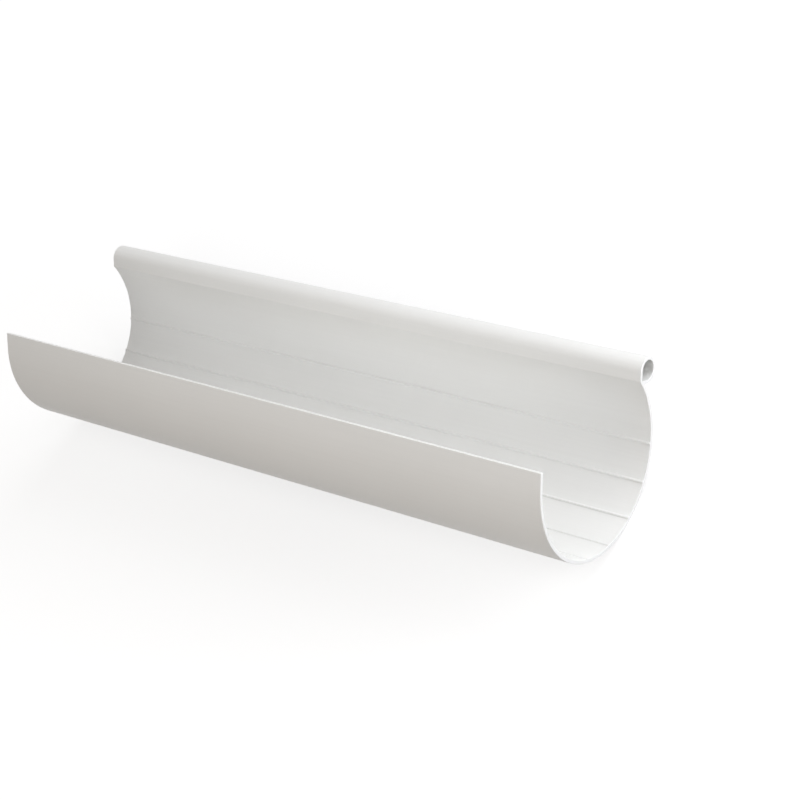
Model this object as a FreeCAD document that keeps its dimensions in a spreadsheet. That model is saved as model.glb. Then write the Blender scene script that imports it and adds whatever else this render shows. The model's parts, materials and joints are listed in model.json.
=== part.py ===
"""Half-round rainwater gutter section in extruded uPVC, as a FreeCAD document.

The gutter is one extrusion, so it is one body: a profile padded along X, with a
row of fine ribs on its inside. The profile is drawn in the YZ plane with the
centre of its half-round trough at the origin, its plain wall on the -Y side and
its hollow bead on the +Y side. The finished length is laid down as it comes to
rest on a level floor, rolled towards its heavier, beaded side.
"""

import FreeCAD
import Part
import math
import os

import Sketcher

NODE = "gutter_section"

# Driving dimensions in millimetres, angles in degrees and counts in pieces.
SIZES = [
    ("section_length", 465.0, "Length of the cut section"),
    ("outer_radius", 62.5, "Outside radius of the half-round trough"),
    ("wall_thickness", 2.3, "Thickness of the trough wall"),
    ("plain_wall_rise", 11.5, "Height of the plain wall above the trough's centre"),
    ("lip_angle", 40.6, "Angle above the trough's centre at which the bead starts"),
    ("bead_inset", 1.6, "Depth of the bead's corner inside the trough's inner face"),
    ("bead_radius", 8.5, "Outside radius of the hollow bead"),
    ("bead_skin", 2.1, "Thickness of the bead's skin"),
    ("lip_round", 0.4, "Rounding of the plain wall's two top edges"),
    ("crease_round", 2.0, "Rounding where the bead's side turns into the wall"),
    ("root_fillet", 0.8, "Fillet in the corner under the bead"),
    ("hollow_round", 0.8, "Rounding in the corner of the bead's hollow"),
    ("rib_width", 1.8, "Width of a rib at the inner face of the trough"),
    ("rib_height", 0.8, "Height of a rib above the inner face"),
    ("rib_root", 0.4, "Depth of a rib's root inside the wall"),
    ("rib_start", 86.7, "Angle from the lowest point up to the rib nearest the bead"),
    ("rib_pitch", 23.9, "Angle between neighbouring ribs"),
    ("rib_count", 8, "Number of ribs on the inside of the trough"),
]


def write_sizes(doc):
    """Put the driving dimensions in a spreadsheet, one aliased cell each."""
    sheet = doc.addObject("Spreadsheet::Sheet", "Sizes")
    for row, (alias, value, meaning) in enumerate(SIZES, start=1):
        sheet.set(f"A{row}", meaning)
        sheet.set(f"B{row}", str(value))
        sheet.setAlias(f"B{row}", alias)
    doc.recompute()
    return sheet


def origin_feature(body, role):
    """Return the plane or axis of the body's own origin that has this role."""
    return next(item for item in body.Origin.OriginFeatures if item.Role == role)


def new_sketch(body, name):
    """Make a sketch on the body's YZ plane, the plane of the profile."""
    sketch = body.newObject("Sketcher::SketchObject", name)
    sketch.AttachmentSupport = [(origin_feature(body, "YZ_Plane"), "")]
    sketch.MapMode = "FlatFace"
    return sketch


def point(across, up):
    """Return a point of the profile plane."""
    return FreeCAD.Vector(across, up, 0)


def angle_of(place):
    """Return the direction of a point from the profile's origin, in degrees."""
    return math.degrees(math.atan2(place.y, place.x))


def arc(centre, radius, from_degrees, to_degrees):
    """Return an arc of the profile, drawn anticlockwise between two angles."""
    circle = Part.Circle(centre, FreeCAD.Vector(0, 0, 1), radius)
    return Part.ArcOfCircle(circle, math.radians(from_degrees), math.radians(to_degrees))


def start(edge):
    """Name the start point of a sketch edge, as the sketcher numbers it."""
    return edge, 1


def end(edge):
    """Name the end point of a sketch edge, as the sketcher numbers it."""
    return edge, 2


def centre(edge):
    """Name the centre of an arc, as the sketcher numbers it."""
    return edge, 3


def axis_line(name):
    """Name one of the sketch's own two axes, as the sketcher numbers it."""
    return {"horizontal": -1, "vertical": -2}[name]


def origin():
    """Name the sketch's origin: the start of its horizontal axis."""
    return start(axis_line("horizontal"))


def constrain(sketch, kind, *geometry):
    """Add one geometric constraint to a sketch."""
    sketch.addConstraint(Sketcher.Constraint(kind, *geometry))


def dimension(sketch, name, kind, *geometry, value, expression):
    """Add one named dimension to a sketch and bind it to the spreadsheet."""
    index = sketch.addConstraint(Sketcher.Constraint(kind, *geometry, value))
    sketch.renameConstraint(index, name)
    sketch.setExpression(f"Constraints.{name}", expression)


def draw_trough_and_bead(body, sizes):
    """Draw the extruded profile: the trough's wall with the hollow bead on it.

    The bead is a tube with one square corner, in which it meets the wall. That
    corner is placed by a spoke from the trough's centre, so the bead stays on
    the wall's edge when the trough's size changes. The corners that are rounded
    later are returned with the sketch.
    """
    outer = sizes.outer_radius
    inner = outer - sizes.wall_thickness
    rise = sizes.plain_wall_rise
    shell = sizes.bead_radius
    hollow = shell - sizes.bead_skin
    spoke_length = inner - sizes.bead_inset
    lip = math.radians(sizes.lip_angle)
    corner = point(spoke_length * math.cos(lip), spoke_length * math.sin(lip))
    bead = corner + point(shell, shell)
    outer_end = point(math.sqrt(outer ** 2 - corner.y ** 2), corner.y)
    inner_end = point(corner.x, math.sqrt(inner ** 2 - corner.x ** 2))
    hollow_corner = bead - point(hollow, hollow)

    sketch = new_sketch(body, "TroughAndBead")
    edges = sketch.addGeometry(
        [
            Part.LineSegment(point(-outer, rise), point(-outer, 0)),
            arc(point(0, 0), outer, -180, angle_of(outer_end)),
            Part.LineSegment(outer_end, point(bead.x, corner.y)),
            arc(bead, shell, -90, 180),
            Part.LineSegment(point(corner.x, bead.y), inner_end),
            arc(point(0, 0), inner, -180, angle_of(inner_end)),
            Part.LineSegment(point(-inner, 0), point(-inner, rise)),
            Part.LineSegment(point(-inner, rise), point(-outer, rise)),
            Part.LineSegment(hollow_corner, point(bead.x, hollow_corner.y)),
            arc(bead, hollow, -90, 180),
            Part.LineSegment(point(hollow_corner.x, bead.y), hollow_corner),
        ]
    )
    plain_outside, trough_outside, bead_underside, bead_outside = edges[:4]
    bead_side, trough_inside, plain_inside, plain_edge = edges[4:8]
    hollow_floor, hollow_arc, hollow_side = edges[8:]
    spoke = sketch.addGeometry(Part.LineSegment(point(0, 0), corner), True)

    # The wall's faces run smoothly into the half-round, centred on the origin.
    constrain(sketch, "Coincident", *centre(trough_outside), *origin())
    constrain(sketch, "Coincident", *centre(trough_inside), *origin())
    constrain(sketch, "Tangent", *end(plain_outside), *start(trough_outside))
    constrain(sketch, "Tangent", *start(plain_inside), *start(trough_inside))
    constrain(sketch, "Vertical", plain_outside)
    constrain(sketch, "Vertical", plain_inside)
    constrain(sketch, "Horizontal", plain_edge)
    constrain(sketch, "Coincident", *end(plain_inside), *start(plain_edge))
    constrain(sketch, "Coincident", *end(plain_edge), *start(plain_outside))

    # The bead's two flat sides leave the wall in line with the spoke's tip.
    constrain(sketch, "Coincident", *start(spoke), *origin())
    constrain(sketch, "Horizontal", *end(spoke), *start(bead_underside))
    constrain(sketch, "Vertical", *end(spoke), *end(bead_side))
    constrain(sketch, "Coincident", *end(trough_outside), *start(bead_underside))
    constrain(sketch, "Horizontal", bead_underside)
    constrain(sketch, "Tangent", *end(bead_underside), *start(bead_outside))
    constrain(sketch, "Tangent", *end(bead_outside), *start(bead_side))
    constrain(sketch, "Vertical", bead_side)
    constrain(sketch, "Coincident", *end(bead_side), *end(trough_inside))

    # The hollow follows the bead's outside at the thickness of its skin.
    constrain(sketch, "Coincident", *centre(hollow_arc), *centre(bead_outside))
    constrain(sketch, "Coincident", *end(hollow_side), *start(hollow_floor))
    constrain(sketch, "Horizontal", hollow_floor)
    constrain(sketch, "Vertical", hollow_side)
    constrain(sketch, "Tangent", *end(hollow_floor), *start(hollow_arc))
    constrain(sketch, "Tangent", *end(hollow_arc), *start(hollow_side))

    dimension(sketch, "outer_radius", "Radius", trough_outside,
              value=outer, expression="Sizes.outer_radius")
    dimension(sketch, "inner_radius", "Radius", trough_inside,
              value=inner, expression="Sizes.outer_radius - Sizes.wall_thickness")
    dimension(sketch, "plain_wall_rise", "DistanceY", *origin(), *start(plain_outside),
              value=rise, expression="Sizes.plain_wall_rise")
    dimension(sketch, "lip_angle", "Angle", spoke,
              value=lip, expression="Sizes.lip_angle")
    dimension(sketch, "spoke_length", "Distance", spoke, value=spoke_length,
              expression="Sizes.outer_radius - Sizes.wall_thickness - Sizes.bead_inset")
    dimension(sketch, "bead_radius", "Radius", bead_outside,
              value=shell, expression="Sizes.bead_radius")
    dimension(sketch, "hollow_radius", "Radius", hollow_arc,
              value=hollow, expression="Sizes.bead_radius - Sizes.bead_skin")
    corners = {
        "lip_round": [start(plain_edge), end(plain_edge)],
        "crease_round": [end(bead_side)],
        "root_fillet": [end(trough_outside)],
        "hollow_round": [start(hollow_floor)],
    }
    return sketch, corners


def draw_rib(body, sizes):
    """Draw the rib nearest the bead: a low arch with its root in the wall.

    The rib is drawn at the lowest point of the trough, in a sketch that is then
    turned about the trough's centre up to the rib's place.
    """
    face = sizes.wall_thickness - sizes.outer_radius
    root = face - sizes.rib_root
    half = sizes.rib_width / 2
    height = sizes.rib_height
    arch_radius = (half ** 2 + height ** 2) / (2 * height)
    arch_centre = point(0, face + height - arch_radius)
    springing = angle_of(point(half, face) - arch_centre)

    sketch = new_sketch(body, "Rib")
    base, right_side, arch, left_side = sketch.addGeometry(
        [
            Part.LineSegment(point(-half, root), point(half, root)),
            Part.LineSegment(point(half, root), point(half, face)),
            arc(arch_centre, arch_radius, springing, 180 - springing),
            Part.LineSegment(point(-half, face), point(-half, root)),
        ]
    )
    constrain(sketch, "Coincident", *end(base), *start(right_side))
    constrain(sketch, "Coincident", *end(right_side), *start(arch))
    constrain(sketch, "Coincident", *end(arch), *start(left_side))
    constrain(sketch, "Coincident", *end(left_side), *start(base))
    constrain(sketch, "Symmetric", *start(base), *end(base), axis_line("vertical"))
    constrain(sketch, "Vertical", right_side)
    constrain(sketch, "Vertical", left_side)
    constrain(sketch, "PointOnObject", *centre(arch), axis_line("vertical"))

    dimension(sketch, "rib_width", "DistanceX", *start(base), *end(base),
              value=sizes.rib_width, expression="Sizes.rib_width")
    dimension(sketch, "root_level", "DistanceY", *start(base), *origin(), value=-root,
              expression="Sizes.outer_radius - Sizes.wall_thickness + Sizes.rib_root")
    dimension(sketch, "root_depth", "DistanceY", *start(right_side), *end(right_side),
              value=sizes.rib_root, expression="Sizes.rib_root")
    dimension(sketch, "arch_radius", "Radius", arch, value=arch_radius,
              expression="(Sizes.rib_width ^ 2 / 4 + Sizes.rib_height ^ 2)"
                         " / (2 * Sizes.rib_height)")
    sketch.setExpression("AttachmentOffset.Rotation.Angle", "Sizes.rib_start")
    return sketch


def pad_along_gutter(body, name, sketch):
    """Extrude a sketch over the gutter's length, half of it to either side."""
    pad = body.newObject("PartDesign::Pad", name)
    pad.Profile = sketch
    pad.SideType = "Symmetric"
    pad.setExpression("Length", "Sizes.section_length")
    return pad


def long_edge(shape, corner):
    """Name the edge that runs along the gutter through a corner of the profile."""
    place = FreeCAD.Vector(0, corner.x, corner.y)
    for number, edge in enumerate(shape.Edges, start=1):
        lies_along = edge.BoundBox.YLength < 0.001 and edge.BoundBox.ZLength < 0.001
        if lies_along and edge.CenterOfMass.isEqual(place, 0.001):
            return f"Edge{number}"
    raise RuntimeError(f"no edge runs along the gutter at {corner}")


def round_corners(body, sketch, size_name, corners):
    """Round some corners of the profile over the whole length of the gutter."""
    extruded = body.Tip
    names = [long_edge(extruded.Shape, sketch.getPoint(*corner)) for corner in corners]
    rounding = body.newObject("PartDesign::Fillet", size_name.title().replace("_", ""))
    rounding.Base = (extruded, names)
    rounding.setExpression("Radius", f"Sizes.{size_name}")
    return rounding


def build_gutter(doc, sizes):
    """Extrude the profile and repeat the rib around the inside of the trough.

    The row of ribs starts below the bead and runs down and round to the plain wall.
    """
    body = doc.addObject("PartDesign::Body", NODE)
    body.Label = NODE
    profile, rounded = draw_trough_and_bead(body, sizes)
    pad_along_gutter(body, "Extrusion", profile)
    doc.recompute()
    for size_name, corners in rounded.items():
        round_corners(body, profile, size_name, corners)
        doc.recompute()
    rib = pad_along_gutter(body, "FirstRib", draw_rib(body, sizes))
    doc.recompute()

    ribs = body.newObject("PartDesign::PolarPattern", "Ribs")
    ribs.Originals = [rib]
    ribs.Axis = (origin_feature(body, "X_Axis"), [""])
    ribs.Reversed = True
    ribs.setExpression("Angle", "Sizes.rib_pitch * (Sizes.rib_count - 1)")
    ribs.setExpression("Occurrences", "Sizes.rib_count")
    body.Tip = ribs
    doc.recompute()
    return body


def lay_at_rest(body):
    """Roll the gutter until it balances, and set it on the floor at the origin.

    The trough's outside rolls on the floor as a cylinder does, so the gutter is
    at rest once its centre of mass is straight below the centre of that arc. The
    origin is below the middle of the gutter's box, on the floor.
    """
    mass_centre = body.Shape.CenterOfGravity
    roll = -90 - math.degrees(math.atan2(mass_centre.z, mass_centre.y))
    rotation = FreeCAD.Rotation(FreeCAD.Vector(1, 0, 0), roll)
    body.Placement = FreeCAD.Placement(FreeCAD.Vector(), rotation)
    box = body.Shape.BoundBox
    drop = FreeCAD.Vector(-box.Center.x, -box.Center.y, -box.ZMin)
    body.Placement = FreeCAD.Placement(drop, rotation)
    return roll


def check_document(doc):
    """Stop on any object that failed to build or has no valid shape."""
    for item in doc.Objects:
        if "Invalid" in item.State or "Error" in item.State:
            raise RuntimeError(f"{item.Name} failed to build: {item.State}")
    for item in doc.findObjects("PartDesign::Body"):
        if item.Shape.isNull() or not item.Shape.isValid():
            raise RuntimeError(f"{item.Label} has no valid shape")


def main():
    doc = FreeCAD.newDocument("GutterSection")
    sizes = write_sizes(doc)
    gutter = build_gutter(doc, sizes)
    check_document(doc)
    roll = lay_at_rest(gutter)
    doc.recompute()
    check_document(doc)

    os.makedirs("parts", exist_ok=True)
    gutter.Shape.exportStep(os.path.join("parts", f"{gutter.Label}.step"))
    box = gutter.Shape.BoundBox
    print(f"{gutter.Label}: {box.XLength:.1f} x {box.YLength:.1f} x {box.ZLength:.1f} mm,"
          f" {gutter.Shape.Volume / 1000:.1f} cm3, rolled {roll:.2f} degrees")


main()
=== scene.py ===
"""Dress the half-round gutter section: its extruded shape, its finish and a plain studio."""

import json
import math

import bmesh
import bpy
from mathutils import Matrix, Vector


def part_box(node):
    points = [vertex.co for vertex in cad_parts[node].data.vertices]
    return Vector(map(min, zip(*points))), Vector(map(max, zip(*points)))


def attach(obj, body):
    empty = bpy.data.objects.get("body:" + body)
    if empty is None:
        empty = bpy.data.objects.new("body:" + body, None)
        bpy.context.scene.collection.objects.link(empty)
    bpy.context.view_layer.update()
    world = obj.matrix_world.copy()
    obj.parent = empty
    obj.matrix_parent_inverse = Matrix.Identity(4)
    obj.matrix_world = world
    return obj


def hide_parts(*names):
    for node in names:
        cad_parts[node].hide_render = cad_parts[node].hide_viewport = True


bl_info = {
    "name": "Half-round gutter section",
    "version": (1, 0, 0),
    "blender": (4, 5, 0),
    "location": "3D View > Sidebar > Gutter",
    "description": "Builds a length of half-round uPVC gutter and the studio it is shown in",
    "category": "Object",
}

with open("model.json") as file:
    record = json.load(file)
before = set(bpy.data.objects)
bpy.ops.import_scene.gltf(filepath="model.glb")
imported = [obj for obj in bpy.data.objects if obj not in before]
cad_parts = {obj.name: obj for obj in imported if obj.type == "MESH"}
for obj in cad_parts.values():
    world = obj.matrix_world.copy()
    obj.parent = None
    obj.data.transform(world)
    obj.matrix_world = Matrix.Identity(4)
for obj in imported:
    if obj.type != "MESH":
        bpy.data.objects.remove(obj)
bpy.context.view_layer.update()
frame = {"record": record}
NODE = "gutter_section"
BODY = "root"
MM = 0.001
QUARTER_TURN = math.pi / 2

# How far an arc turns between two of its vertices, and its least number of such steps.
WALL_STEP = math.radians(2)
BEAD_STEP = math.radians(6)
SMALL_STEP = math.radians(15)
LEAST_STEPS = 2

# Faces that meet at more than this angle meet in a sharp edge.
SHARP_ANGLE = math.radians(28)

# The material slot of the sawn ends, which comes after the skin's.
SAWN_INDEX = 1

# The uPVC's refractive index, and how far the streaks take its roughness down and up.
UPVC_IOR = 1.53
ROUGHNESS_SWING = (-0.04, 0.06)

# Noise patterns: a factor on each axis, the scale and the detail. A small factor draws
# the pattern out along its axis.
CLOUDS = ((0.6, 1.0, 1.0), 14.0, 3.0)
STREAKS = ((0.012, 1.0, 1.0), 620.0, 4.0)
SAW_MARKS = ((1.0, 0.08, 1.0), 1400.0, 2.0)

# The range that most values of a noise are in.
NOISE_RANGE = (0.3, 0.7)

# What the clouds and the streaks multiply the colour by, from least to most.
CLOUD_TONE = (0.975, 1.0)
STREAK_TONE = (0.985, 1.0)

# Relief in metres, and how much of it shows.
STREAK_RELIEF = (0.03 * MM, 0.3)
SAW_RELIEF = (0.06 * MM, 0.8)

# Each softbox's place in the upright profile's frame and the side of its square, in metres.
SOFTBOXES = {
    "top_softbox": ((0.35, 0.15, 1.1), 1.0),
    "end_softbox": ((1.3, 0.1, 0.5), 0.8),
    "front_softbox": ((0.2, -0.9, 0.35), 0.8),
    "low_softbox": ((0.15, -1.0, -0.3), 0.7),
}

# Width of the camera's sensor in millimetres.
SENSOR_WIDTH = 36.0

MOUNTS = {mount["name"]: mount for mount in frame["record"]["mounts"]}


def mount_place(name):
    """Return a mount's position in metres."""
    return Vector(MOUNTS[name]["pos_m"])


def profile_to_floor():
    """Return the transform from the upright profile's frame to the gutter as it lies.

    The upright frame has the trough's centre as its origin, X along the gutter and
    Z up the plain wall. The gutter lies rolled, so its plain wall leans over.
    """
    up = Vector(MOUNTS["plain_edge"]["axis"])
    roll = math.atan2(-up.y, up.z)
    return Matrix.Translation(mount_place("trough_seat")) @ Matrix.Rotation(roll, 4, "X")


LAY = profile_to_floor()


def upright(place):
    """Return where a point of the lying gutter is in the upright profile's frame."""
    return LAY.inverted() @ place


BEAD_CENTRE = upright(mount_place("bead_edge"))
PLAIN_TOP = upright(mount_place("plain_edge"))


class GutterSizes(bpy.types.PropertyGroup):
    """Sizes of the extruded profile and of its small details."""

    length: bpy.props.FloatProperty(
        name="Length", description="Length of the cut section", unit="LENGTH",
        default=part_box(NODE)[1].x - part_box(NODE)[0].x)
    outer_radius: bpy.props.FloatProperty(
        name="Outer radius", description="Outside radius of the half-round trough",
        unit="LENGTH", default=MOUNTS["trough_seat"]["dims"]["r_mm"] * MM)
    wall: bpy.props.FloatProperty(
        name="Wall", description="Thickness of the trough's wall", unit="LENGTH",
        default=2.3 * MM)
    plain_rise: bpy.props.FloatProperty(
        name="Plain wall rise", description="Height of the plain wall above the centre",
        unit="LENGTH", default=PLAIN_TOP.z)
    bead_radius: bpy.props.FloatProperty(
        name="Bead radius", description="Outside radius of the hollow bead", unit="LENGTH",
        default=MOUNTS["bead_edge"]["dims"]["r_mm"] * MM)
    bead_skin: bpy.props.FloatProperty(
        name="Bead skin", description="Thickness of the bead's skin", unit="LENGTH",
        default=2.1 * MM)
    rib_width: bpy.props.FloatProperty(
        name="Rib width", description="Width of a rib at the inner face", unit="LENGTH",
        default=1.8 * MM)
    rib_height: bpy.props.FloatProperty(
        name="Rib height", description="Height of a rib above the inner face",
        unit="LENGTH", default=0.8 * MM)
    rib_start: bpy.props.FloatProperty(
        name="First rib", description="From the trough's lowest line up to the first rib",
        subtype="ANGLE", default=math.radians(86.7))
    rib_pitch: bpy.props.FloatProperty(
        name="Rib pitch", description="Angle between neighbouring ribs",
        subtype="ANGLE", default=math.radians(23.9))
    rib_count: bpy.props.IntProperty(
        name="Ribs", description="Number of ribs on the inside of the trough", default=8)
    rib_foot: bpy.props.FloatProperty(
        name="Rib foot", description="Fillet at the feet of a rib", unit="LENGTH",
        default=0.5 * MM)
    arris: bpy.props.FloatProperty(
        name="Arris", description="Width of the eased edge round each saw cut",
        unit="LENGTH", default=0.2 * MM)
    lip_round: bpy.props.FloatProperty(
        name="Lip rounding", description="Radius of the plain wall's two top edges",
        unit="LENGTH", default=0.4 * MM)
    crease_round: bpy.props.FloatProperty(
        name="Crease rounding", description="Radius where the bead's side meets the wall",
        unit="LENGTH", default=2.0 * MM)
    root_fillet: bpy.props.FloatProperty(
        name="Root fillet", description="Radius in the corner under the bead",
        unit="LENGTH", default=0.8 * MM)
    hollow_round: bpy.props.FloatProperty(
        name="Hollow rounding", description="Radius in the corner of the bead's hollow",
        unit="LENGTH", default=0.8 * MM)


class GutterFinish(bpy.types.PropertyGroup):
    """Colours and surface qualities of the uPVC."""

    skin_colour: bpy.props.FloatVectorProperty(
        name="Skin", description="Colour of the extruded faces", subtype="COLOR",
        size=3, default=(0.885, 0.885, 0.868))
    sawn_colour: bpy.props.FloatVectorProperty(
        name="Sawn", description="Colour of the freshly sawn ends", subtype="COLOR",
        size=3, default=(0.83, 0.83, 0.82))
    skin_roughness: bpy.props.FloatProperty(
        name="Skin roughness", description="Roughness of the extruded faces",
        subtype="FACTOR", default=0.36, min=0.0, max=1.0)
    sawn_roughness: bpy.props.FloatProperty(
        name="Sawn roughness", description="Roughness of the sawn ends",
        subtype="FACTOR", default=0.62, min=0.0, max=1.0)


class GutterStage(bpy.types.PropertyGroup):
    """The view, the floor and the lamps."""

    lens: bpy.props.FloatProperty(
        name="Lens", description="Focal length of the camera in millimetres", default=85.0)
    distance: bpy.props.FloatProperty(
        name="Distance", description="From the camera to the point it aims at",
        unit="LENGTH", default=1.2268)
    azimuth: bpy.props.FloatProperty(
        name="Azimuth", description="Direction of the camera about the upright profile",
        subtype="ANGLE", default=math.radians(38.17))
    elevation: bpy.props.FloatProperty(
        name="Elevation", description="Height of the camera above the upright profile",
        subtype="ANGLE", default=math.radians(17.96))
    tilt: bpy.props.FloatProperty(
        name="Tilt", description="Turn of the camera about its own view",
        subtype="ANGLE", default=math.radians(0.33))
    aim: bpy.props.FloatVectorProperty(
        name="Aim", description="Point aimed at, from the trough's centre at mid-length",
        subtype="XYZ", unit="LENGTH", size=3, default=(0.0796, 0.0, 0.0091))
    floor_colour: bpy.props.FloatVectorProperty(
        name="Floor", description="Colour of the floor", subtype="COLOR",
        size=3, default=(0.32, 0.32, 0.32))
    floor_reach: bpy.props.FloatProperty(
        name="Floor reach", description="From the gutter to each edge of the floor",
        unit="LENGTH", default=12.0)
    shadow_reach: bpy.props.FloatProperty(
        name="Shadow reach", description="Distance at which the floor has turned plain white",
        unit="LENGTH", default=1.3)
    floor_whiteness: bpy.props.FloatProperty(
        name="Floor whiteness", description="White added to the floor near the gutter as seen",
        subtype="FACTOR", default=0.71, min=0.0, max=1.0)
    room_light: bpy.props.FloatProperty(
        name="Room light", description="Strength of the even light from all round",
        default=0.165)
    room_colour: bpy.props.FloatVectorProperty(
        name="Room colour", description="Colour of the even light", subtype="COLOR",
        size=3, default=(1.0, 0.89, 0.77))
    softbox_colour: bpy.props.FloatVectorProperty(
        name="Softbox colour", description="Colour of the top, end and front softboxes",
        subtype="COLOR", size=3, default=(0.945, 0.965, 1.0))
    low_colour: bpy.props.FloatVectorProperty(
        name="Low colour", description="Colour of the low softbox", subtype="COLOR",
        size=3, default=(1.0, 0.83, 0.62))
    top_power: bpy.props.FloatProperty(
        name="Top softbox", description="Power of the softbox over the trough",
        unit="POWER", default=7.35)
    end_power: bpy.props.FloatProperty(
        name="End softbox", description="Power of the softbox beyond the near end",
        unit="POWER", default=13.7)
    front_power: bpy.props.FloatProperty(
        name="Front softbox", description="Power of the softbox before the plain wall",
        unit="POWER", default=4.2)
    low_power: bpy.props.FloatProperty(
        name="Low softbox", description="Power of the softbox low before the plain wall",
        unit="POWER", default=1.15)


PROPERTY_GROUPS = (GutterSizes, GutterFinish, GutterStage)


def add_node(tree, kind, **values):
    """Add a shader node and set the inputs that are named."""
    node = tree.nodes.new(kind)
    for name, value in values.items():
        node.inputs[name].default_value = value
    return node


def stretched_noise(tree, factors, scale, detail):
    """Add noise on the object's own coordinates, with a factor on each axis."""
    place = add_node(tree, "ShaderNodeTexCoord")
    mapping = add_node(tree, "ShaderNodeMapping", Scale=factors)
    noise = add_node(tree, "ShaderNodeTexNoise", Scale=scale, Detail=detail)
    tree.links.new(place.outputs["Object"], mapping.inputs["Vector"])
    tree.links.new(mapping.outputs["Vector"], noise.inputs["Vector"])
    return noise.outputs["Fac"]


def spread(tree, value, low, high):
    """Map a noise value's middle range onto the range between two levels."""
    level = add_node(tree, "ShaderNodeMapRange", **{
        "From Min": NOISE_RANGE[0], "From Max": NOISE_RANGE[1],
        "To Min": low, "To Max": high})
    tree.links.new(value, level.inputs["Value"])
    return level.outputs["Result"]


def scaled_by(tree, first, second):
    """Multiply two values."""
    product = tree.nodes.new("ShaderNodeMath")
    product.operation = "MULTIPLY"
    tree.links.new(first, product.inputs[0])
    tree.links.new(second, product.inputs[1])
    return product.outputs["Value"]


def upvc_tone_group():
    """The slight unevenness of extruded uPVC: cloudy tone and drawn-out streaks."""
    group = bpy.data.node_groups.new("upvc_tone", "ShaderNodeTree")
    group.interface.new_socket("Colour", in_out="INPUT", socket_type="NodeSocketColor")
    group.interface.new_socket("Colour", in_out="OUTPUT", socket_type="NodeSocketColor")
    group.interface.new_socket("Streaks", in_out="OUTPUT", socket_type="NodeSocketFloat")
    given = group.nodes.new("NodeGroupInput")
    result = group.nodes.new("NodeGroupOutput")
    clouds = stretched_noise(group, *CLOUDS)
    streaks = stretched_noise(group, *STREAKS)
    tone = scaled_by(group, spread(group, clouds, *CLOUD_TONE),
                     spread(group, streaks, *STREAK_TONE))
    tint = group.nodes.new("ShaderNodeVectorMath")
    tint.operation = "SCALE"
    group.links.new(given.outputs["Colour"], tint.inputs[0])
    group.links.new(tone, tint.inputs["Scale"])
    group.links.new(tint.outputs["Vector"], result.inputs["Colour"])
    group.links.new(streaks, result.inputs["Streaks"])
    return group


def add_tone(tree, shader, group, colour):
    """Give a shader a toned base colour, and return the streaks in that tone."""
    tone = tree.nodes.new("ShaderNodeGroup")
    tone.node_tree = group
    tone.inputs["Colour"].default_value = (*colour, 1)
    tree.links.new(tone.outputs["Colour"], shader.inputs["Base Color"])
    return tone.outputs["Streaks"]


def add_bump(tree, shader, height, depth, strength):
    """Roughen a shader's surface by a height of some depth in metres."""
    bump = add_node(tree, "ShaderNodeBump", Strength=strength, Distance=depth)
    tree.links.new(height, bump.inputs["Height"])
    tree.links.new(bump.outputs["Normal"], shader.inputs["Normal"])


def new_material(name):
    """Make a node material and return it with its tree and its Principled shader."""
    material = bpy.data.materials.new(name)
    material.use_nodes = True
    tree = material.node_tree
    return material, tree, tree.nodes["Principled BSDF"]


def skin_material(finish, tone):
    """The extruded faces: off-white uPVC with a low sheen and drawn-out streaks."""
    material, tree, shader = new_material("white_upvc_skin")
    streaks = add_tone(tree, shader, tone, finish.skin_colour)
    low, high = (finish.skin_roughness + change for change in ROUGHNESS_SWING)
    tree.links.new(spread(tree, streaks, low, high), shader.inputs["Roughness"])
    shader.inputs["IOR"].default_value = UPVC_IOR
    add_bump(tree, shader, streaks, *STREAK_RELIEF)
    return material


def sawn_material(finish, tone):
    """The cut ends: matt uPVC with the fine marks of the saw across them."""
    material, tree, shader = new_material("white_upvc_sawn")
    add_tone(tree, shader, tone, finish.sawn_colour)
    shader.inputs["Roughness"].default_value = finish.sawn_roughness
    shader.inputs["IOR"].default_value = UPVC_IOR
    add_bump(tree, shader, stretched_noise(tree, *SAW_MARKS), *SAW_RELIEF)
    return material


def profile_point(across, up):
    """Return a point of the upright profile's plane."""
    return Vector((0.0, across, up))


def start_outline(bm, place):
    """Put down the first vertex of an outline."""
    return bmesh.ops.create_vert(bm, co=place)["vert"][0]


def draw_line(bm, tip, place):
    """Draw a straight edge from the outline's tip, and return the new tip."""
    new_tip = bmesh.ops.extrude_vert_indiv(bm, verts=[tip])["verts"][0]
    bmesh.ops.translate(bm, verts=[new_tip], vec=place - new_tip.co)
    return new_tip


def draw_arc(bm, tip, centre, turn, step):
    """Draw an arc from the outline's tip about a centre, and return the new tip.

    A positive turn goes from +Y towards +Z.
    """
    steps = max(LEAST_STEPS, round(abs(turn) / step))
    swept = bmesh.ops.spin(bm, geom=[tip], cent=centre, axis=(1, 0, 0), angle=turn,
                           steps=steps)
    return next(item for item in swept["geom_last"] if isinstance(item, bmesh.types.BMVert))


def close_outline(bm, tip, first):
    """Join the outline's tip to its first vertex."""
    bmesh.ops.contextual_create(bm, geom=[tip, first])


def direction(place):
    """Return the angle of a point about the trough's centre."""
    return math.atan2(place.z, place.y)


def triangle_angle(opposite, side, other_side):
    """Return a triangle's angle opposite one side, from its three sides."""
    cosine = (side ** 2 + other_side ** 2 - opposite ** 2) / (2 * side * other_side)
    return math.acos(cosine)


def polar_point(radius, angle):
    """Return a point of the profile's plane at an angle about the trough's centre."""
    place = profile_point(radius, 0)
    place.rotate(Matrix.Rotation(angle, 3, "X"))
    return place


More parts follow.
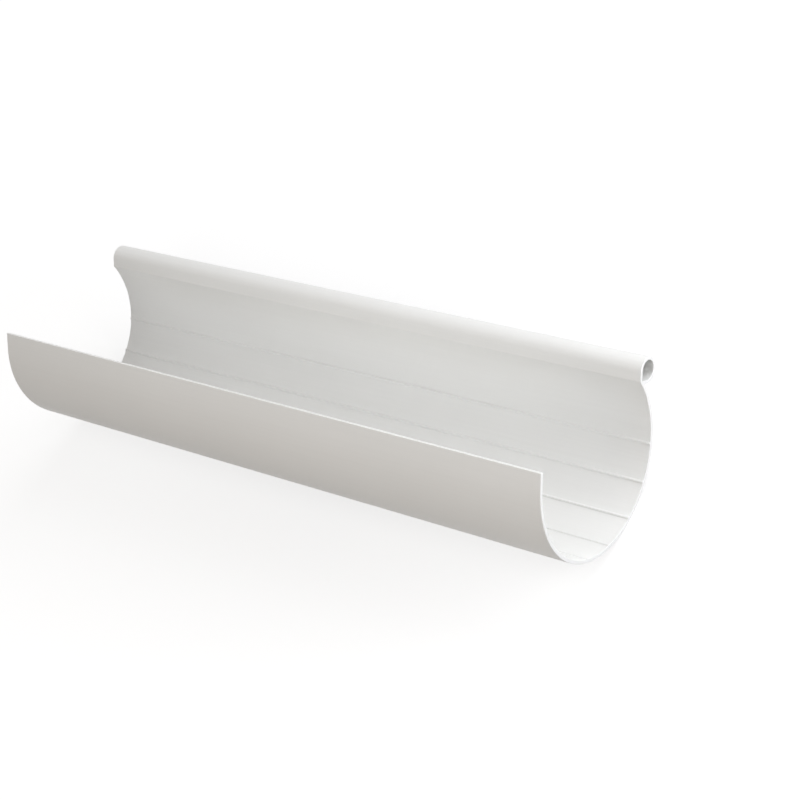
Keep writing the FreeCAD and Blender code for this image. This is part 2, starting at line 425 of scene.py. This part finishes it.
def rib_arcs(sizes):
    """Work out a rib: a low arch whose feet run into the wall over small fillets.

    Returns the angle about the trough's centre between the rib's middle and a fillet's
    centre, and the rib's arcs in order. Each arc has the distance of its centre from
    the trough's, the angle of its centre from the rib's middle, and its turn.
    """
    inner = sizes.outer_radius - sizes.wall
    crown = inner - sizes.rib_height
    chord = inner * math.cos(math.asin(sizes.rib_width / 2 / inner))
    arch_place = (inner ** 2 - crown ** 2) / (2 * (chord - crown))
    foot_place = inner - sizes.rib_foot
    arch_to_foot = arch_place - crown + sizes.rib_foot
    half_angle = triangle_angle(arch_to_foot, foot_place, arch_place)
    half_turn = triangle_angle(foot_place, arch_to_foot, arch_place)
    foot_turn = -half_angle - half_turn
    arcs = ((foot_place, half_angle, foot_turn),
            (arch_place, 0.0, 2 * half_turn),
            (foot_place, -half_angle, foot_turn))
    return half_angle, arcs


def draw_rib(bm, tip, arcs, middle):
    """Draw a rib from foot to foot, with its middle at an angle about the centre."""
    for place, angle, turn in arcs:
        tip = draw_arc(bm, tip, polar_point(place, middle + angle), turn, SMALL_STEP)
    return tip


def draw_inner_face(bm, tip, sizes, from_angle):
    """Draw the trough's inside with its ribs, from the bead down and round."""
    origin = profile_point(0, 0)
    half_angle, arcs = rib_arcs(sizes)
    reached = from_angle
    for number in range(sizes.rib_count):
        middle = sizes.rib_start - number * sizes.rib_pitch - QUARTER_TURN
        tip = draw_arc(bm, tip, origin, middle + half_angle - reached, WALL_STEP)
        tip = draw_rib(bm, tip, arcs, middle)
        reached = middle - half_angle
    return draw_arc(bm, tip, origin, -math.pi - reached, WALL_STEP)


def draw_trough_and_bead(bm, sizes):
    """Draw the outline of the wall and the bead, anticlockwise from the plain edge."""
    outer = sizes.outer_radius
    inner = outer - sizes.wall
    lip = sizes.lip_round
    top = sizes.plain_rise
    origin = profile_point(0, 0)
    bead = BEAD_CENTRE
    shell = sizes.bead_radius
    side = bead.y - shell
    underside = bead.z - shell

    first = start_outline(bm, profile_point(-outer, top - lip))
    tip = draw_line(bm, first, profile_point(-outer, 0))

    # The wall's outside runs round to the bead. The fillet under the bead touches both
    # the trough's circle and the bead's underside.
    fillet_up = underside - sizes.root_fillet
    fillet_reach = outer + sizes.root_fillet
    fillet = profile_point(math.sqrt(fillet_reach ** 2 - fillet_up ** 2), fillet_up)
    tip = draw_arc(bm, tip, origin, math.pi + direction(fillet), WALL_STEP)
    tip = draw_arc(bm, tip, fillet, -QUARTER_TURN - direction(fillet), BEAD_STEP)
    tip = draw_line(bm, tip, profile_point(bead.y, underside))
    tip = draw_arc(bm, tip, bead, 3 * QUARTER_TURN, BEAD_STEP)

    # The bead's flat side turns into the wall over a soft crease, which touches both.
    crease_across = side + sizes.crease_round
    crease_reach = inner + sizes.crease_round
    crease = profile_point(crease_across,
                           math.sqrt(crease_reach ** 2 - crease_across ** 2))
    tip = draw_line(bm, tip, profile_point(side, crease.z))
    tip = draw_arc(bm, tip, crease, direction(crease), BEAD_STEP)
    tip = draw_inner_face(bm, tip, sizes, direction(crease))

    # The plain wall ends in a square edge with both corners eased.
    tip = draw_line(bm, tip, profile_point(-inner, top - lip))
    tip = draw_arc(bm, tip, profile_point(-inner - lip, top - lip), QUARTER_TURN,
                   SMALL_STEP)
    tip = draw_line(bm, tip, profile_point(-outer + lip, top))
    tip = draw_arc(bm, tip, profile_point(-outer + lip, top - lip),
                   QUARTER_TURN - SMALL_STEP, SMALL_STEP)
    close_outline(bm, tip, first)


def draw_hollow(bm, sizes):
    """Draw the bead's hollow, which follows its outside at the skin's thickness."""
    bead = BEAD_CENTRE
    hollow = sizes.bead_radius - sizes.bead_skin
    easing = sizes.hollow_round
    corner = bead - profile_point(hollow, hollow)
    first = start_outline(bm, profile_point(bead.y, corner.z))
    tip = draw_arc(bm, first, bead, 3 * QUARTER_TURN, BEAD_STEP)
    tip = draw_line(bm, tip, corner + profile_point(0, easing))
    tip = draw_arc(bm, tip, corner + profile_point(easing, easing), QUARTER_TURN, BEAD_STEP)
    close_outline(bm, tip, first)


def ease_cut(bm, faces, arris, outward):
    """Chamfer the rim of a cut end by an arris, and return the end's faces with it."""
    rim = bmesh.ops.inset_region(bm, faces=faces, thickness=arris, use_boundary=True,
                                 use_even_offset=True)["faces"]
    verts = list({vert for face in faces for vert in face.verts})
    bmesh.ops.translate(bm, verts=verts, vec=Vector((arris * outward, 0, 0)))
    return list(faces) + list(rim)


def extrude_profile(bm, sizes):
    """Fill the drawn outlines and draw them out to the gutter's length.

    Returns the faces of the two sawn ends.
    """
    reach = sizes.length / 2 - sizes.arris
    bmesh.ops.translate(bm, verts=bm.verts, vec=(reach, 0, 0))
    filled = bmesh.ops.triangle_fill(bm, edges=bm.edges, use_beauty=True)
    near_end = [item for item in filled["geom"] if isinstance(item, bmesh.types.BMFace)]
    drawn = bmesh.ops.extrude_face_region(bm, geom=near_end)["geom"]
    far_end = [item for item in drawn if isinstance(item, bmesh.types.BMFace)]
    far_verts = [item for item in drawn if isinstance(item, bmesh.types.BMVert)]
    bmesh.ops.translate(bm, verts=far_verts, vec=(-2 * reach, 0, 0))
    bmesh.ops.recalc_face_normals(bm, faces=bm.faces)
    return ease_cut(bm, near_end, sizes.arris, 1) + ease_cut(bm, far_end, sizes.arris, -1)


def add_piece(name, bm, materials):
    """Turn a bmesh in the upright profile's frame into a piece of the gutter as it lies."""
    bmesh.ops.transform(bm, matrix=LAY, verts=bm.verts)
    mesh = bpy.data.meshes.new(name)
    bm.to_mesh(mesh)
    bm.free()
    for material in materials:
        mesh.materials.append(material)
    mesh.shade_smooth()
    mesh.set_sharp_from_angle(angle=SHARP_ANGLE)
    piece = bpy.data.objects.new(name, mesh)
    bpy.context.scene.collection.objects.link(piece)
    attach(piece, BODY)
    return piece


class OBJECT_OT_gutter_section(bpy.types.Operator):
    """Build the extruded gutter with its ribs, its hollow bead and its sawn ends"""

    bl_idname = "object.gutter_section"
    bl_label = "Gutter section"

    def execute(self, context):
        sizes = context.scene.gutter_sizes
        finish = context.scene.gutter_finish
        bm = bmesh.new()
        draw_trough_and_bead(bm, sizes)
        draw_hollow(bm, sizes)
        for face in extrude_profile(bm, sizes):
            face.material_index = SAWN_INDEX
        tone = upvc_tone_group()
        materials = [skin_material(finish, tone), sawn_material(finish, tone)]
        piece = add_piece("gutter_extrusion", bm, materials)
        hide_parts(NODE)
        return {"FINISHED"}


def add_softbox(name, power, colour):
    """Hang one of the square softboxes, aimed at the gutter."""
    place, size = SOFTBOXES[name]
    data = bpy.data.lights.new(name, "AREA")
    data.shape = "SQUARE"
    data.size = size
    data.energy = power
    data.color = colour
    softbox = bpy.data.objects.new(name, data)
    softbox.visible_camera = False
    softbox.location = LAY @ Vector(place)
    aim = LAY @ Vector((0, 0, 0))
    softbox.rotation_euler = (aim - softbox.location).to_track_quat("-Z", "Y").to_euler()
    bpy.context.scene.collection.objects.link(softbox)


def camera_share(tree):
    """Return a value of 1 for what is seen directly, by reflection or through glass."""
    path = tree.nodes.new("ShaderNodeLightPath")
    seen = path.outputs["Is Camera Ray"]
    for name in ("Is Glossy Ray", "Is Transmission Ray"):
        larger = tree.nodes.new("ShaderNodeMath")
        larger.operation = "MAXIMUM"
        tree.links.new(seen, larger.inputs[0])
        tree.links.new(path.outputs[name], larger.inputs[1])
        seen = larger.outputs["Value"]
    return seen


def floor_material(stage):
    """Matt paint that looks white, but keeps the gutter's shadow near it."""
    material, tree, shader = new_material("floor_paint")
    shader.inputs["Base Color"].default_value = (*stage.floor_colour, 1)
    shader.inputs["Roughness"].default_value = 1.0
    shader.inputs["Specular IOR Level"].default_value = 0.0
    place = add_node(tree, "ShaderNodeTexCoord")
    scale = 1 / stage.shadow_reach
    mapping = add_node(tree, "ShaderNodeMapping", Scale=(scale, scale, scale))
    nearness = tree.nodes.new("ShaderNodeTexGradient")
    nearness.gradient_type = "SPHERICAL"
    tree.links.new(place.outputs["Object"], mapping.inputs["Vector"])
    tree.links.new(mapping.outputs["Vector"], nearness.inputs["Vector"])
    whiteness = add_node(tree, "ShaderNodeMapRange", **{"To Min": 1.0,
                                                        "To Max": stage.floor_whiteness})
    tree.links.new(nearness.outputs["Fac"], whiteness.inputs["Value"])
    glow = add_node(tree, "ShaderNodeEmission", Color=(1, 1, 1, 1))
    share = scaled_by(tree, camera_share(tree), whiteness.outputs["Result"])
    tree.links.new(share, glow.inputs["Strength"])
    both = tree.nodes.new("ShaderNodeAddShader")
    tree.links.new(shader.outputs["BSDF"], both.inputs[0])
    tree.links.new(glow.outputs["Emission"], both.inputs[1])
    tree.links.new(both.outputs["Shader"], tree.nodes["Material Output"].inputs["Surface"])
    return material


def add_floor(stage):
    """Lay a wide plain floor under the gutter."""
    bm = bmesh.new()
    bmesh.ops.create_grid(bm, x_segments=1, y_segments=1, size=stage.floor_reach)
    mesh = bpy.data.meshes.new("floor")
    bm.to_mesh(mesh)
    bm.free()
    mesh.materials.append(floor_material(stage))
    floor = bpy.data.objects.new("floor", mesh)
    bpy.context.scene.collection.objects.link(floor)


def add_world(stage):
    """Surround the scene with an even soft light that itself looks white."""
    world = bpy.data.worlds.new("studio")
    world.use_nodes = True
    tree = world.node_tree
    mix = tree.nodes.new("ShaderNodeMix")
    mix.data_type = "RGBA"
    # A Mix node has a pair of inputs and an output for each kind of data. Those for
    # colours are inputs 6 and 7 and output 2.
    factor, room, white = (mix.inputs[index] for index in (0, 6, 7))
    tree.links.new(camera_share(tree), factor)
    room.default_value = (*(Vector(stage.room_colour) * stage.room_light), 1)
    white.default_value = (1, 1, 1, 1)
    tree.links.new(mix.outputs[2], tree.nodes["Background"].inputs["Color"])
    bpy.context.scene.world = world


def add_camera(stage):
    """Set up the camera from the upright profile's frame, and make it the scene's own."""
    azimuth = stage.azimuth
    elevation = stage.elevation
    back = Vector((math.sin(azimuth) * math.cos(elevation),
                   -math.cos(azimuth) * math.cos(elevation),
                   math.sin(elevation)))
    level = Vector((math.cos(azimuth), math.sin(azimuth), 0.0))
    over = back.cross(level)
    right = level * math.cos(stage.tilt) + over * math.sin(stage.tilt)
    rotation = Matrix((right, back.cross(right), back)).transposed().to_4x4()
    place = Vector(stage.aim) + back * stage.distance
    data = bpy.data.cameras.new("camera")
    data.lens = stage.lens
    data.sensor_width = SENSOR_WIDTH
    camera = bpy.data.objects.new("camera", data)
    camera.matrix_world = LAY @ Matrix.Translation(place) @ rotation
    bpy.context.scene.collection.objects.link(camera)
    bpy.context.scene.camera = camera


class OBJECT_OT_gutter_stage(bpy.types.Operator):
    """Lay the floor, hang the lamps and set up the camera"""

    bl_idname = "object.gutter_stage"
    bl_label = "Studio"

    def execute(self, context):
        stage = context.scene.gutter_stage
        add_floor(stage)
        add_camera(stage)
        add_softbox("top_softbox", stage.top_power, stage.softbox_colour)
        add_softbox("end_softbox", stage.end_power, stage.softbox_colour)
        add_softbox("front_softbox", stage.front_power, stage.softbox_colour)
        add_softbox("low_softbox", stage.low_power, stage.low_colour)
        add_world(stage)
        context.scene.view_settings.view_transform = "Standard"
        return {"FINISHED"}


class VIEW3D_PT_gutter(bpy.types.Panel):
    """List the operators that build the gutter and its studio"""

    bl_label = "Gutter"
    bl_idname = "VIEW3D_PT_gutter"
    bl_space_type = "VIEW_3D"
    bl_region_type = "UI"
    bl_category = "Gutter"

    def draw(self, context):
        for operator in OPERATORS:
            self.layout.operator(operator.bl_idname)


OPERATORS = (OBJECT_OT_gutter_section, OBJECT_OT_gutter_stage)
CLASSES = PROPERTY_GROUPS + OPERATORS + (VIEW3D_PT_gutter,)


def register():
    """Register the classes and hang their properties on the scene."""
    for item in CLASSES:
        bpy.utils.register_class(item)
    bpy.types.Scene.gutter_sizes = bpy.props.PointerProperty(type=GutterSizes)
    bpy.types.Scene.gutter_finish = bpy.props.PointerProperty(type=GutterFinish)
    bpy.types.Scene.gutter_stage = bpy.props.PointerProperty(type=GutterStage)


def unregister():
    """Take the properties off the scene and unregister the classes."""
    del bpy.types.Scene.gutter_stage
    del bpy.types.Scene.gutter_finish
    del bpy.types.Scene.gutter_sizes
    for item in reversed(CLASSES):
        bpy.utils.unregister_class(item)


def main():
    """Build the gutter and its studio."""
    register()
    bpy.ops.object.gutter_section()
    bpy.ops.object.gutter_stage()


if __name__ == "__main__":
    main()
